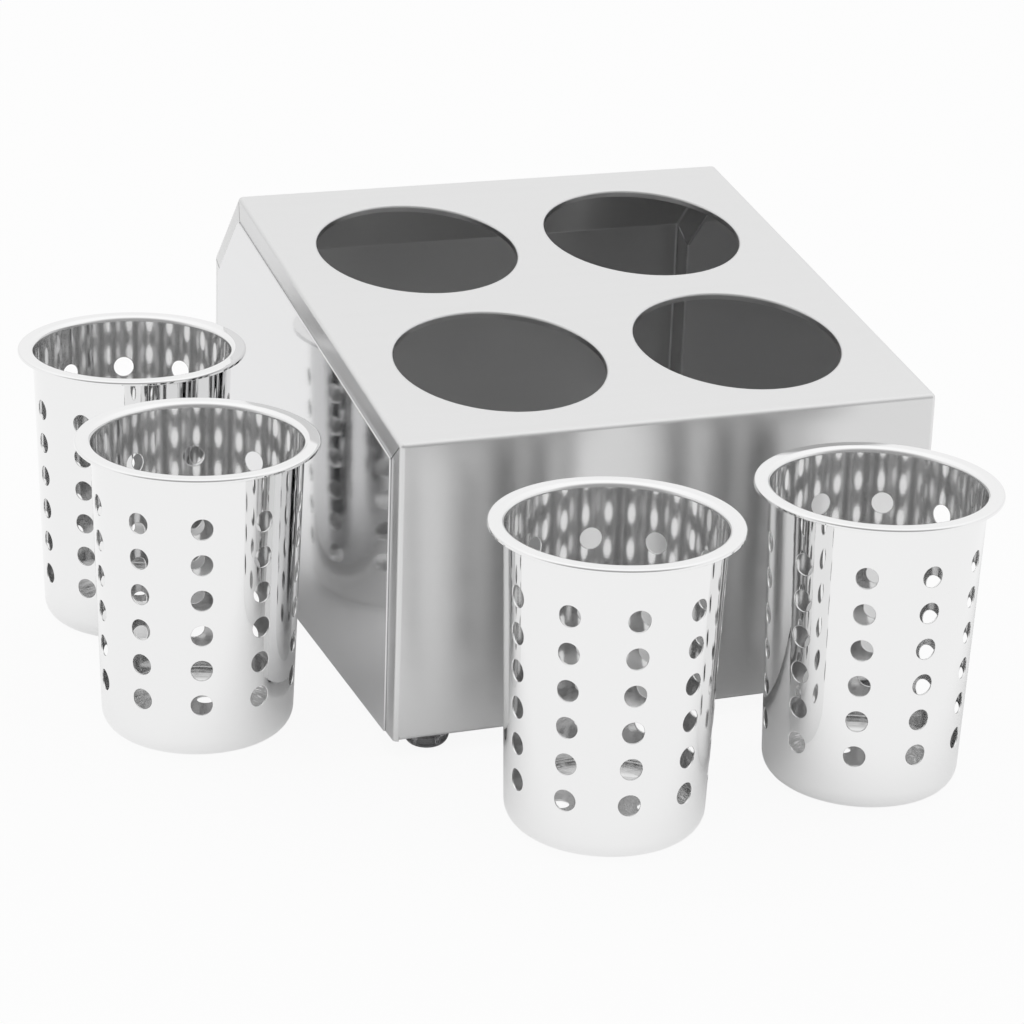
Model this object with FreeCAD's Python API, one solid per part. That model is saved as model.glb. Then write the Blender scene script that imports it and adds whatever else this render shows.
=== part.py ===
"""Countertop cutlery holder: a folded steel case with four round seats, and four perforated cups.

The cups stand on the table beside the case, two at its left and two in front of it.
Millimetres, +Z up, +Y towards the back. The origin lies on the table, under the middle of the set.
"""
import FreeCAD, Part

import math
import os

from FreeCAD import Vector

# Cup, drawn from sheet
cup_height = 140.0
cup_mouth_radius = 48.5
cup_base_radius = 44.0
cup_corner_radius = 9.5
cup_sheet = 0.8
rim_bend_radius = 2.0
rim_lip_drop = 2.0
rim_lip_bend_radius = 0.4

# Perforation of the cup wall and of the cup floor
perforation_radius = 4.9
perforation_columns = 10
perforation_rows = 6
first_row_height = 28.0
last_row_below_rim = 26.3
drain_radius = 4.0
drain_ring_radius = 22.0
drain_ring_count = 6

# Seats in the sloping top
seat_clearance = 1.5
seat_landing = 5.6
seat_web_across = 21.0
seat_web_along = 22.6
seat_margin_side = 22.0
seat_margin_front = 20.3
seat_margin_rear = 22.7
collar_depth = 3.4
collar_bend_radius = 0.4
top_slope = 9.3

# Case, folded from sheet
case_sheet = 1.0
case_bend_radius = 1.3
chamfer_drop = 43.8
cup_floor_clearance = 17.6
front_reveal = 12.0
top_reveal = 12.0
chamfer_reveal = 10.5
rear_reveal = 9.0
panel_overlap = 6.0
panel_sheet = 1.0
mitre_slot = 0.5
mitre_start = 3.5
return_edge = 3.0
return_side_gap = 0.6

# Feet and their fasteners
foot_height = 8.0
foot_radius = 10.75
foot_pad_radius = 6.4
foot_rim_height = 1.6
foot_edge_front = 2.25
foot_edge_side = 9.25
foot_web = 3.6
screw_radius = 2.0
screw_head_radius = 3.5
screw_head_height = 2.2
screw_tail = 1.4
screw_clearance = 0.2
head_clearance = 0.7
washer_radius = 4.5
washer_thickness = 0.8
nut_across_flats = 7.0
nut_height = 3.2
nut_thread_clearance = 0.05

# Places of the cups beside the case, as gaps between rims and case
left_gap_back = 15.3
left_gap_front = 18.9
left_row_start = 9.1
left_row_gap = 24.6
front_gap_left = 28.2
front_gap_right = 17.5
front_row_start = 13.6
front_row_gap = 18.4

# Turn of each cup about its own axis, in degrees
cup_turn = {
    "cup_left_back": 9.5,
    "cup_left_front": 5.2,
    "cup_front_left": 8.7,
    "cup_front_right": 23.2,
}

# Sizes that follow from the driving ones
slope = math.radians(top_slope)
seat_radius = cup_mouth_radius + seat_clearance
rim_radius = seat_radius + seat_landing
case_width = 2 * seat_margin_side + 4 * seat_radius + seat_web_across
top_length = seat_margin_front + 4 * seat_radius + seat_web_along + seat_margin_rear
first_seat_along = seat_margin_front + seat_radius
seat_rise = first_seat_along * math.sin(slope)
seated_depth = cup_height * math.cos(slope) + cup_base_radius * math.sin(slope)
front_top = cup_floor_clearance + seated_depth - seat_rise
rear_top_y = top_length * math.cos(slope)
rear_top = front_top + top_length * math.sin(slope)
case_depth = rear_top_y + chamfer_drop
foot_front_inset = foot_edge_front + foot_radius
foot_side_inset = foot_edge_side + foot_radius
return_width = foot_front_inset + foot_radius + return_edge


def rounded_edges(points, radii):
    """Straight runs through the points (x, z), with a tangent arc of the given radius at each inner one."""
    vectors = [Vector(x, 0, z) for x, z in points]
    edges = []
    start = vectors[0]
    for corner, after, radius in zip(vectors[1:-1], vectors[2:], radii):
        back = (start - corner).normalize()
        ahead = (after - corner).normalize()
        half = back.getAngle(ahead) / 2
        reach = radius / math.tan(half)
        middle = (back + ahead).normalize() * (radius / math.sin(half) - radius)
        arc_start = corner + back * reach
        arc_end = corner + ahead * reach
        edges.append(Part.LineSegment(start, arc_start).toShape())
        edges.append(Part.Arc(arc_start, corner + middle, arc_end).toShape())
        start = arc_end
    edges.append(Part.LineSegment(start, vectors[-1]).toShape())
    return edges


def line_crossing(point, direction, other_point, other_direction):
    """Point where two lines of the same plane cross, each given by a point and a direction."""
    (px, pz), (dx, dz) = point, direction
    (qx, qz), (ex, ez) = other_point, other_direction
    along = ((qx - px) * ez - (qz - pz) * ex) / (dx * ez - dz * ex)
    return (px + along * dx, pz + along * dz)


def shifted_lines(points, distances):
    """Each run between points, moved to its left by its distance, as (point, direction)."""
    lines = []
    for (ax, az), (bx, bz), distance in zip(points, points[1:], distances):
        length = math.hypot(bx - ax, bz - az)
        direction = ((bx - ax) / length, (bz - az) / length)
        start = (ax - direction[1] * distance, az + direction[0] * distance)
        lines.append((start, direction))
    return lines


def left_offset(points, distance):
    """The open chain of points moved to its left by one distance, with sharp corners."""
    lines = shifted_lines(points, [distance] * (len(points) - 1))
    corners = [line_crossing(*a, *b) for a, b in zip(lines, lines[1:])]
    last_start, last_direction = lines[-1]
    (ax, az), (bx, bz) = points[-2:]
    length = math.hypot(bx - ax, bz - az)
    end = (last_start[0] + last_direction[0] * length, last_start[1] + last_direction[1] * length)
    return [lines[0][0]] + corners + [end]


def sheet_section(points, bends, thickness):
    """Face of a bent sheet: its one side follows the points, its thickness lies to their left.

    bends gives each inner radius, and whether the chain turns left there.
    """
    near_radii = [radius + thickness if left else radius for radius, left in bends]
    far_radii = [radius if left else radius + thickness for radius, left in bends]
    far_points = left_offset(points, thickness)
    near_edges = rounded_edges(points, near_radii)
    far_edges = rounded_edges(far_points, far_radii)
    caps = []
    for near, other in ((points[0], far_points[0]), (points[-1], far_points[-1])):
        caps.append(Part.LineSegment(Vector(near[0], 0, near[1]), Vector(other[0], 0, other[1])).toShape())
    outline = Part.Wire(Part.__sortEdges__(near_edges + far_edges + caps))
    return Part.Face(outline)


def turned(face):
    """Solid made by turning a section of the XZ plane about the Z axis."""
    return face.revolve(Vector(0, 0, 0), Vector(0, 0, 1), 360)


def cross_prism(points, start, width):
    """Prism across the case: the points are (y, z), and it reaches from x = start over the width."""
    corners = [Vector(start, y, z) for y, z in points]
    face = Part.Face(Part.makePolygon(corners + corners[:1]))
    return face.extrude(Vector(width, 0, 0))


def cup_shape():
    """A drawn cup on the table at the origin, with its perforated wall and floor and its flared rim."""
    rim_underside = cup_height - cup_sheet
    lip_inside = rim_radius - cup_sheet
    chain = [
        (0.0, 0.0),
        (cup_base_radius, 0.0),
        (cup_mouth_radius, rim_underside),
        (lip_inside, rim_underside),
        (lip_inside, cup_height - rim_lip_drop),
    ]
    bends = [
        (cup_corner_radius - cup_sheet, True),
        (rim_bend_radius, False),
        (rim_lip_bend_radius, False),
    ]
    shell = turned(sheet_section(chain, bends, cup_sheet))
    return shell.cut(cup_perforation() + cup_drains())


def cup_perforation():
    """Drills for the wall: rows between the first and the last height, columns evenly round the cup."""
    pitch = (cup_height - first_row_height - last_row_below_rim) / (perforation_rows - 1)
    drills = []
    for row in range(perforation_rows):
        height = first_row_height + row * pitch
        for column in range(perforation_columns):
            angle = 2 * math.pi * column / perforation_columns
            outward = Vector(math.cos(angle), math.sin(angle), 0)
            start = outward * (cup_base_radius / 2) + Vector(0, 0, height)
            drills.append(Part.makeCylinder(perforation_radius, cup_mouth_radius, start, outward))
    return drills


def cup_drains():
    """Drills for the floor: one in the middle and a ring round it."""
    places = [Vector(0, 0, -cup_sheet)]
    for index in range(drain_ring_count):
        angle = 2 * math.pi * index / drain_ring_count
        outward = Vector(math.cos(angle), math.sin(angle), 0)
        places.append(places[0] + outward * drain_ring_radius)
    return [Part.makeCylinder(drain_radius, 3 * cup_sheet, place) for place in places]


def case_corners():
    """Side outline of the case as (y, z), from the front bottom over the top to the back bottom."""
    return [
        (0.0, foot_height),
        (0.0, front_top),
        (rear_top_y, rear_top),
        (case_depth, rear_top - chamfer_drop),
        (case_depth, foot_height),
    ]


def inset_outline(front, top, chamfer, rear, bottom):
    """Side outline as (y, z) whose edges lie inside the case's faces by the given distances."""
    corners = case_corners()
    lines = shifted_lines(corners + corners[:1], [-front, -top, -chamfer, -rear, -bottom])
    return [line_crossing(*lines[i - 1], *lines[i]) for i in range(len(lines))]


def panel_outline():
    """Side outline of a panel, which leaves a strip of each flange showing beside it."""
    return inset_outline(front_reveal, top_reveal, chamfer_reveal, rear_reveal, 0.0)


def flange_outline(bottom):
    """Side outline along the free edges of the flanges, with its bottom edge inside by the distance."""
    reveals = (front_reveal, top_reveal, chamfer_reveal, rear_reveal)
    return inset_outline(*[reveal + panel_overlap for reveal in reveals], bottom)


def rounded_prism(points, start, width, radius):
    """Prism across the case with its edges rounded, apart from the two that run along its bottom sides."""
    prism = cross_prism(points, start, width)
    bottom = prism.BoundBox.ZMin
    bent = []
    for edge in prism.Edges:
        across = edge.BoundBox.XLength > edge.BoundBox.YLength
        if across or edge.BoundBox.ZMax > bottom + radius:
            bent.append(edge)
    return prism.makeFillet(radius, bent)


def mitre_slots():
    """Thin cuts through the side flanges, from near each corner of the outline to the flanges' edges."""
    outer = case_corners()
    inner = flange_outline(0.0)
    cuts = []
    for (oy, oz), (iy, iz) in zip(outer[1:4], inner[1:4]):
        length = math.hypot(iy - oy, iz - oz)
        dy = (iy - oy) / length
        dz = (iz - oz) / length
        side_y = -dz * mitre_slot / 2
        side_z = dy * mitre_slot / 2
        near_y = oy + dy * mitre_start
        near_z = oz + dz * mitre_start
        end_y = iy + dy * mitre_slot
        end_z = iz + dz * mitre_slot
        strip = [
            (near_y + side_y, near_z + side_z),
            (end_y + side_y, end_z + side_z),
            (end_y - side_y, end_z - side_z),
            (near_y - side_y, near_z - side_z),
        ]
        cuts.append(cross_prism(strip, -case_sheet, case_width + 2 * case_sheet))
    return cuts


def seat_placements():
    """Place of each seat: its centre on the top's outer face, tilted with the slope."""
    tilt = FreeCAD.Rotation(Vector(1, 0, 0), top_slope)
    first_across = seat_margin_side + seat_radius
    pitch_across = 2 * seat_radius + seat_web_across
    pitch_along = 2 * seat_radius + seat_web_along
    places = []
    for row in range(2):
        along = first_seat_along + row * pitch_along
        for column in range(2):
            across = first_across + column * pitch_across
            centre = Vector(across, along * math.cos(slope), front_top + along * math.sin(slope))
            places.append(FreeCAD.Placement(centre, tilt))
    return places


def seat_collar():
    """Turned-down edge of a seat hole, with its mouth at z = 0 on the axis."""
    ring_radius = seat_radius + case_sheet + collar_bend_radius
    bend_bottom = -(case_sheet + collar_bend_radius)
    outer_start = Vector(ring_radius, 0, 0)
    outer_end = Vector(seat_radius, 0, bend_bottom)
    inner_start = Vector(seat_radius + case_sheet, 0, bend_bottom)
    inner_end = Vector(ring_radius, 0, -case_sheet)
    turn = math.sqrt(0.5)
    centre = Vector(ring_radius, 0, bend_bottom)
    towards = Vector(-turn, 0, turn)
    foot_in = Vector(seat_radius, 0, -collar_depth)
    foot_out = Vector(seat_radius + case_sheet, 0, -collar_depth)
    edges = [
        Part.Arc(outer_start, centre + towards * (case_sheet + collar_bend_radius), outer_end).toShape(),
        Part.LineSegment(outer_end, foot_in).toShape(),
        Part.LineSegment(foot_in, foot_out).toShape(),
        Part.LineSegment(foot_out, inner_start).toShape(),
        Part.Arc(inner_start, centre + towards * collar_bend_radius, inner_end).toShape(),
        Part.LineSegment(inner_end, outer_start).toShape(),
    ]
    return turned(Part.Face(Part.Wire(edges)))


def case_wrapper():
    """The folded sheet of the case: front, top, chamfer and back, with flanges, returns and seats."""
    outside = rounded_prism(case_corners(), 0.0, case_width, case_bend_radius + case_sheet)
    inner_corners = inset_outline(*[case_sheet] * 5)
    inside = rounded_prism(inner_corners, case_sheet, case_width - 2 * case_sheet, case_bend_radius)
    side_windows = cross_prism(flange_outline(-case_sheet), -case_sheet, case_width + 2 * case_sheet)
    shell = outside.cut([inside, side_windows] + mitre_slots() + base_cuts())
    hole_radius = seat_radius + case_sheet + collar_bend_radius
    drills = []
    collars = []
    for place in seat_placements():
        drill = Part.makeCylinder(hole_radius, 4 * case_sheet, Vector(0, 0, -2 * case_sheet))
        drill.Placement = place
        drills.append(drill)
        collar = seat_collar()
        collar.Placement = place
        collars.append(collar)
    return shell.cut(drills).fuse(collars).removeSplitter()


def base_cuts():
    """What is cut from the bottom: its open middle, a gap beside each flange, and the screw holes."""
    below = foot_height - case_sheet
    depth = 2 * case_sheet
    open_length = case_depth - 2 * return_width
    middle = Part.makeBox(case_width, open_length, depth, Vector(0, return_width, below))
    strip_start = case_sheet + case_bend_radius
    strip_length = case_depth - 2 * strip_start
    cuts = [middle]
    for left in (case_sheet, case_width - case_sheet - return_side_gap):
        cuts.append(Part.makeBox(return_side_gap, strip_length, depth, Vector(left, strip_start, below)))
    for place in foot_places():
        hole = Part.makeCylinder(screw_radius + screw_clearance, depth, place + Vector(0, 0, below))
        cuts.append(hole)
    return cuts


def side_panel(left_face):
    """Flat side sheet that lies on the outside of the flanges, from x = left_face over its thickness."""
    return cross_prism(panel_outline(), left_face, panel_sheet)


def foot_places():
    """Centre of each foot on the table: front left, front right, back left, back right."""
    places = []
    for y in (foot_front_inset, case_depth - foot_front_inset):
        for x in (foot_side_inset, case_width - foot_side_inset):
            places.append(Vector(x, y, 0))
    return places


def foot():
    """Domed foot with a flat pad and a recess for the screw's head."""
    dome_top = foot_height - foot_rim_height
    quarter = math.sqrt(0.5)
    bulge = Vector(
        foot_pad_radius + (foot_radius - foot_pad_radius) * quarter,
        0,
        dome_top * (1 - quarter),
    )
    pad = Vector(foot_pad_radius, 0, 0)
    shoulder = Vector(foot_radius, 0, dome_top)
    rim = Vector(foot_radius, 0, foot_height)
    edges = [
        Part.LineSegment(Vector(0, 0, 0), pad).toShape(),
        Part.Arc(pad, bulge, shoulder).toShape(),
        Part.LineSegment(shoulder, rim).toShape(),
        Part.LineSegment(rim, Vector(0, 0, foot_height)).toShape(),
        Part.LineSegment(Vector(0, 0, foot_height), Vector(0, 0, 0)).toShape(),
    ]
    dome = turned(Part.Face(Part.Wire(edges)))
    recess = Part.makeCylinder(screw_head_radius + head_clearance, foot_height - foot_web)
    bore = Part.makeCylinder(screw_radius + screw_clearance, foot_height)
    return dome.cut([recess, bore])


def foot_screw():
    """Pan-head screw up through the foot and the bottom return."""
    head_top = foot_height - foot_web
    stack = foot_web + case_sheet + washer_thickness + nut_height + screw_tail
    head_seat = Vector(0, 0, head_top - screw_head_height)
    head = Part.makeCylinder(screw_head_radius, screw_head_height, head_seat)
    shank = Part.makeCylinder(screw_radius, stack, Vector(0, 0, head_top))
    return head.fuse(shank).removeSplitter()


def foot_washer():
    """Flat washer on the bottom return."""
    seat = Vector(0, 0, foot_height + case_sheet)
    disc = Part.makeCylinder(washer_radius, washer_thickness, seat)
    return disc.cut(Part.makeCylinder(screw_radius + screw_clearance, washer_thickness, seat))


def foot_nut():
    """Hexagon nut on the washer."""
    seat = Vector(0, 0, foot_height + case_sheet + washer_thickness)
    corner = nut_across_flats / math.sqrt(3)
    ring = [
        seat + Vector(corner * math.cos(math.radians(60 * i)), corner * math.sin(math.radians(60 * i)), 0)
        for i in range(7)
    ]
    block = Part.Face(Part.makePolygon(ring)).extrude(Vector(0, 0, nut_height))
    return block.cut(Part.makeCylinder(screw_radius + nut_thread_clearance, nut_height, seat))


def cup_places():
    """Centre of each cup on the table, from the case's front left corner."""
    pitch_left = 2 * rim_radius + left_row_gap
    pitch_front = 2 * rim_radius + front_row_gap
    row_y = left_row_start + rim_radius
    row_x = front_row_start + rim_radius
    return {
        "cup_left_back": Vector(-(left_gap_back + rim_radius), row_y + pitch_left, 0),
        "cup_left_front": Vector(-(left_gap_front + rim_radius), row_y, 0),
        "cup_front_left": Vector(row_x, -(front_gap_left + rim_radius), 0),
        "cup_front_right": Vector(row_x + pitch_front, -(front_gap_right + rim_radius), 0),
    }


def set_centre():
    """Middle of the ground that the case and the cups cover."""
    centres = cup_places().values()
    low_x = min([-panel_sheet] + [c.x - rim_radius for c in centres])
    high_x = max([case_width + panel_sheet] + [c.x + rim_radius for c in centres])
    low_y = min([0.0] + [c.y - rim_radius for c in centres])
    high_y = max([case_depth] + [c.y + rim_radius for c in centres])
    return Vector((low_x + high_x) / 2, (low_y + high_y) / 2, 0)


def build():
    """Every piece by its name, in the case's own place with its front left corner at x = y = 0."""
    pieces = {
        "case_wrapper": case_wrapper(),
        "left_side_panel": side_panel(-panel_sheet),
        "right_side_panel": side_panel(case_width),
    }
    corners = ("front_left", "front_right", "back_left", "back_right")
    for corner, place in zip(corners, foot_places()):
        pieces["foot_" + corner] = foot().translated(place)
        pieces["foot_screw_" + corner] = foot_screw().translated(place)
        pieces["foot_washer_" + corner] = foot_washer().translated(place)
        pieces["foot_nut_" + corner] = foot_nut().translated(place)
    cup = cup_shape()
    for name, place in cup_places().items():
        turned_cup = cup.rotated(Vector(0, 0, 0), Vector(0, 0, 1), cup_turn[name])
        pieces[name] = turned_cup.translated(place)
    return pieces


os.makedirs("parts", exist_ok=True)
centre = set_centre()
for name, shape in build().items():
    shape.translated(-centre).exportStep("parts/" + name + ".step")
print("case width, depth and height", [round(size, 2) for size in (case_width, case_depth, rear_top)])
print("set centre from the case corner", round(centre.x, 2), round(centre.y, 2))
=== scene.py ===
"""Cutlery holder: the looks of a folded steel case with four seats and of its four perforated cups.

Every length is in metres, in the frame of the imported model: +Z up, +Y towards the back of the case.
"""
import math
from typing import NamedTuple

import bpy
import numpy as np
from bpy.props import FloatProperty, FloatVectorProperty, IntProperty, PointerProperty
from mathutils import Matrix, Vector


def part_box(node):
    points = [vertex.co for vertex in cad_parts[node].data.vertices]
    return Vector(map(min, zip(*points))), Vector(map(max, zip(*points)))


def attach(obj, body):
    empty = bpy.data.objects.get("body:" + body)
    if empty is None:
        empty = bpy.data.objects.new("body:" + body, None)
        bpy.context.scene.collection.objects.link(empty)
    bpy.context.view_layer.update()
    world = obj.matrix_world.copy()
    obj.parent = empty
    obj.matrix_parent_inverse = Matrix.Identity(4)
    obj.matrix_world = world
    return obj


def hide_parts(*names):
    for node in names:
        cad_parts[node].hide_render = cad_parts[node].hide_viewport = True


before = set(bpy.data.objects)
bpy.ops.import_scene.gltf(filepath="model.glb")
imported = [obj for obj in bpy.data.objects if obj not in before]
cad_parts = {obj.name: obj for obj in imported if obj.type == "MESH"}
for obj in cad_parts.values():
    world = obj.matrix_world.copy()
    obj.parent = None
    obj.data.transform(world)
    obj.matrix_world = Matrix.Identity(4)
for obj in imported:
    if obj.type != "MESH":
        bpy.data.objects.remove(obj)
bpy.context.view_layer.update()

bl_info = {
    "name": "Cutlery Holder",
    "version": (1, 0, 0),
    "blender": (4, 5, 0),
    "location": "View3D > Sidebar > Cutlery Holder",
    "description": "Builds a steel cutlery holder with its perforated cups round the packed model",
    "category": "Object",
}

CASE_LOW, CASE_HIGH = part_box("case_wrapper")
CUP_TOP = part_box("cup_left_back")[1].z
FOOT_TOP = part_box("foot_front_left")[1].z

# Turn of each cup about its own axis, in degrees
CUP_TURNS = {
    "cup_left_back": 9.5,
    "cup_left_front": 5.2,
    "cup_front_left": 8.7,
    "cup_front_right": 23.2,
}
CASE_CORNERS = ("front_left", "front_right", "back_left", "back_right")

# Steps of the meshes
ROUND_STEPS = 180
HOLE_SIDE_STEPS = 10
SEAT_SIDE_STEPS = 32
ARC_STEPS = 8
PUNCH_STEPS = 4
FLOOR_RINGS = 12
FLOOR_SPOKES = 64
MERGE_DISTANCE = 1e-7
STATION_DIGITS = 9

# Longest step along a straight run, and one that leaves every run whole
RUN_STEP = 0.006
UNDIVIDED = 1.0

# The mask that tells the two sides of a sheet apart. On the case it also covers the seat collars' visible
# face, so its darkening there is painted shade.
OUTSIDE, CUT_EDGE, INSIDE = 0.0, 0.5, 1.0

# Rings of a pierced cell, from its border (1) towards the hole (0)
PUNCHED_SHARES = (1.0, 0.6, 0.25)
SEAT_SHARES = (1.0, 0.5, 0.2)

# A cup's wall counts as its inside where the normal points to the axis by more than this
INWARD = 0.9


class SteelGrain(NamedTuple):
    """Traces that polishing leaves on a steel.

    place names the coordinates that the grain follows, and stretch how often it changes per metre along
    each of them. waves counts the slow waves of the sheet per metre. Heights are in metres.
    """

    place: str
    stretch: tuple
    scratch_height: float
    waves: float
    wave_height: float


CASE_GRAIN = SteelGrain("UV", (2.0, 2600.0, 1.0), 1e-7, 9.0, 2e-5)
PANEL_GRAIN = SteelGrain("Object", (1500.0, 3.0, 1500.0), 2e-7, 9.0, 6e-5)
FASTENER_GRAIN = SteelGrain("Object", (900.0, 900.0, 900.0), 4e-6, 9.0, 0.0)
CUP_GRAIN = SteelGrain("Object", (8.0, 8.0, 900.0), 4e-6, 40.0, 9e-5)
GRAIN_DETAIL = 2.0
WAVE_DETAIL = 1.0
SCRATCH_ROUGHNESS = 0.6
BANDS_PER_SCRATCH = 0.06

# How far the bands of the grain change a steel's roughness and its colour
ROUGHNESS_SPREAD = 0.04
TINT_SPREAD = 0.012

# Clouds per metre in the feet's moulding, and how far they change its colour
FOOT_CLOUDS = 300.0
CLOUD_SPREAD = 0.2

# Turn of the drawn-out reflections against the grain, as a share of a full turn
QUARTER_TURN = 0.25

# Where the dimming of the surround starts and ends: 0 beside the camera, 1 straight behind it
SHADE_START = 0.1
SHADE_END = 0.8
WHITE = (1.0, 1.0, 1.0, 1.0)

# Width of the camera's film, in millimetres
FILM_WIDTH = 36.0


def length_property(label, text, default):
    """A size in metres that a user can change."""
    return FloatProperty(name=label, description=text, default=default, min=0.0, unit="LENGTH", precision=5)


def angle_property(label, text, degrees):
    """An angle that a user can change."""
    return FloatProperty(name=label, description=text, default=math.radians(degrees), subtype="ANGLE")


def colour_property(label, text, default):
    """A linear colour that a user can change."""
    return FloatVectorProperty(name=label, description=text, default=default, size=3, min=0.0, max=1.0,
                               subtype="COLOR")


def share_property(label, text, default):
    """A share or a roughness that a user can change."""
    return FloatProperty(name=label, description=text, default=default, min=0.0, max=1.0, subtype="FACTOR")


class CupSettings(bpy.types.PropertyGroup):
    """Sizes and finish of the perforated cups."""

    height: length_property("Height", "From the table to the top of the rim", CUP_TOP)
    mouth_radius: length_property("Mouth radius", "Outer radius of the wall, carried up to the rim", 0.0485)
    base_radius: length_property("Base radius", "Outer radius of the wall, carried down to the table", 0.044)
    corner_radius: length_property("Corner radius", "Outer bend between floor and wall", 0.0095)
    sheet: length_property("Sheet", "Thickness of the steel", 0.0008)
    rim_radius: length_property("Rim radius", "Outer radius of the flared rim", 0.0556)
    rim_bend: length_property("Rim bend", "Outer bend between wall and rim", 0.002)
    lip_drop: length_property("Lip drop", "Height of the turned-down edge of the rim", 0.002)
    lip_bend: length_property("Lip bend", "Inner bend of the turned-down edge", 0.0004)
    edge_round: length_property("Edge rounding", "Rounding of the sheet's cut edge", 0.00032)
    hole_radius: length_property("Hole radius", "Perforation of the wall", 0.0049)
    hole_roll: length_property("Hole edge", "Rounding that the punch leaves at each hole", 0.0003)
    first_row: length_property("First row", "Height of the lowest holes", 0.028)
    last_row: length_property("Last row", "Drop from the rim to the highest holes", 0.0263)
    columns: IntProperty(name="Columns", description="Holes round the cup", default=10, min=3)
    rows: IntProperty(name="Rows", description="Holes above each other", default=6, min=2)
    drain_radius: length_property("Drain radius", "Holes of the floor", 0.004)
    drain_ring: length_property("Drain ring", "Radius of the ring of floor holes", 0.022)
    drain_reach: length_property("Drain reach", "Half width of the band that holds the ring of holes", 0.008)
    drains: IntProperty(name="Drains", description="Holes in the floor's ring", default=6, min=3)
    outer_colour: colour_property("Outer colour", "Polished outside", (0.88, 0.88, 0.88))
    inner_colour: colour_property("Inner colour", "Drawn inside", (0.8, 0.8, 0.8))
    outer_roughness: share_property("Outer roughness", "Polish of the outside", 0.04)
    inner_roughness: share_property("Inner roughness", "Polish of the inside", 0.08)
    inner_haze: share_property("Inner haze", "Dull share of the drawn inside", 0.17)


class CaseSettings(bpy.types.PropertyGroup):
    """Sizes and finish of the folded case and of its side panels."""

    width: length_property("Width", "Across the flanges", CASE_HIGH.x - CASE_LOW.x)
    base_height: length_property("Base height", "From the table to the bottom edge", CASE_LOW.z)
    front_height: length_property("Front height", "From the table to the front's upper edge", 0.15151)
    slope: angle_property("Slope", "Rise of the top towards the back", 9.3)
    chamfer_drop: length_property("Chamfer drop", "Height and depth of the rear chamfer", 0.0438)
    sheet: length_property("Sheet", "Thickness of the steel", 0.001)
    bend: length_property("Bend", "Outer radius of the folds", 0.0023)
    seat_radius: length_property("Seat radius", "Round holes of the top", 0.05)
    web_across: length_property("Web across", "Between the seats, left to right", 0.021)
    web_along: length_property("Web along", "Between the seats, front to back", 0.0226)
    margin_side: length_property("Side margin", "From a seat to the side", 0.022)
    margin_front: length_property("Front margin", "From a seat to the front edge", 0.0203)
    margin_rear: length_property("Rear margin", "From a seat to the rear edge", 0.0227)
    collar_depth: length_property("Collar depth", "Turned-down edge of each seat", 0.0034)
    collar_bend: length_property("Collar bend", "Outer bend of the turned-down edge", 0.0014)
    front_reveal: length_property("Front reveal", "Flange that shows beside the panel at the front", 0.012)
    top_reveal: length_property("Top reveal", "Flange that shows above the panel", 0.012)
    chamfer_reveal: length_property("Chamfer reveal", "Flange that shows at the chamfer", 0.0105)
    rear_reveal: length_property("Rear reveal", "Flange that shows at the back", 0.009)
    overlap: length_property("Overlap", "Flange that lies under the panel", 0.006)
    mitre_slot: length_property("Mitre slot", "Gap between neighbouring flanges", 0.0005)
    return_width: length_property("Return", "Bottom edge that is folded inwards", 0.02675)
    relief: length_property("Relief", "Gap between a return and the side's fold", 0.0003)
    panel_sheet: length_property("Panel sheet", "Thickness of the side panels", 0.001)
    panel_corner: length_property("Panel corner", "Rounding of the panels' corners", 0.0008)
    panel_edge: length_property("Panel edge", "Rounding along the panels' edges", 0.0004)
    sheet_colour: colour_property("Sheet colour", "Satin steel of the folded case", (0.8, 0.8, 0.8))
    # Painted shade: besides a duller inner side, this darkens the hollow inside of the case and the seat
    # collars
    inner_dullness_and_shade: share_property("Inner share", "Brightness of the sheet's unpolished inner side", 0.8)
    sheet_roughness: share_property("Sheet roughness", "Satin of the folded case", 0.3)
    sheet_grain: share_property("Sheet grain", "How far the grain draws reflections out", 0.88)
    panel_colour: colour_property("Panel colour", "Brighter steel of the side panels", (0.77, 0.77, 0.775))
    panel_roughness: share_property("Panel roughness", "Finish of the side panels", 0.07)
    fastener_colour: colour_property("Fastener colour", "Plated screws, washers and nuts", (0.62, 0.62, 0.6))
    fastener_roughness: share_property("Fastener roughness", "Finish of the plated steel", 0.3)


class FootSettings(bpy.types.PropertyGroup):
    """Sizes and finish of the domed feet."""

    height: length_property("Height", "From the table to the case", FOOT_TOP)
    radius: length_property("Radius", "Widest radius of the dome", 0.01075)
    pad: length_property("Pad", "Radius of the flat that rests on the table", 0.0064)
    rim: length_property("Rim", "Height of the straight rim under the case", 0.0016)
    recess: length_property("Recess", "Radius of the pocket round the screw's head", 0.0042)
    web: length_property("Web", "Thickness over the pocket", 0.0036)
    bore: length_property("Bore", "Radius of the screw's hole", 0.0022)
    edge: length_property("Edge", "Rounding of the rim and of the pocket", 0.000267)
    colour: colour_property("Colour", "Clear smoke-grey moulding", (0.5, 0.5, 0.51))
    roughness: share_property("Roughness", "Gloss of the moulding", 0.08)
    clearness: share_property("Clearness", "Share of the light that goes into the moulding", 0.85)
    refraction: FloatProperty(name="Refraction", description="Refractive index of the moulding", default=1.49,
                              min=1.0)


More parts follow.
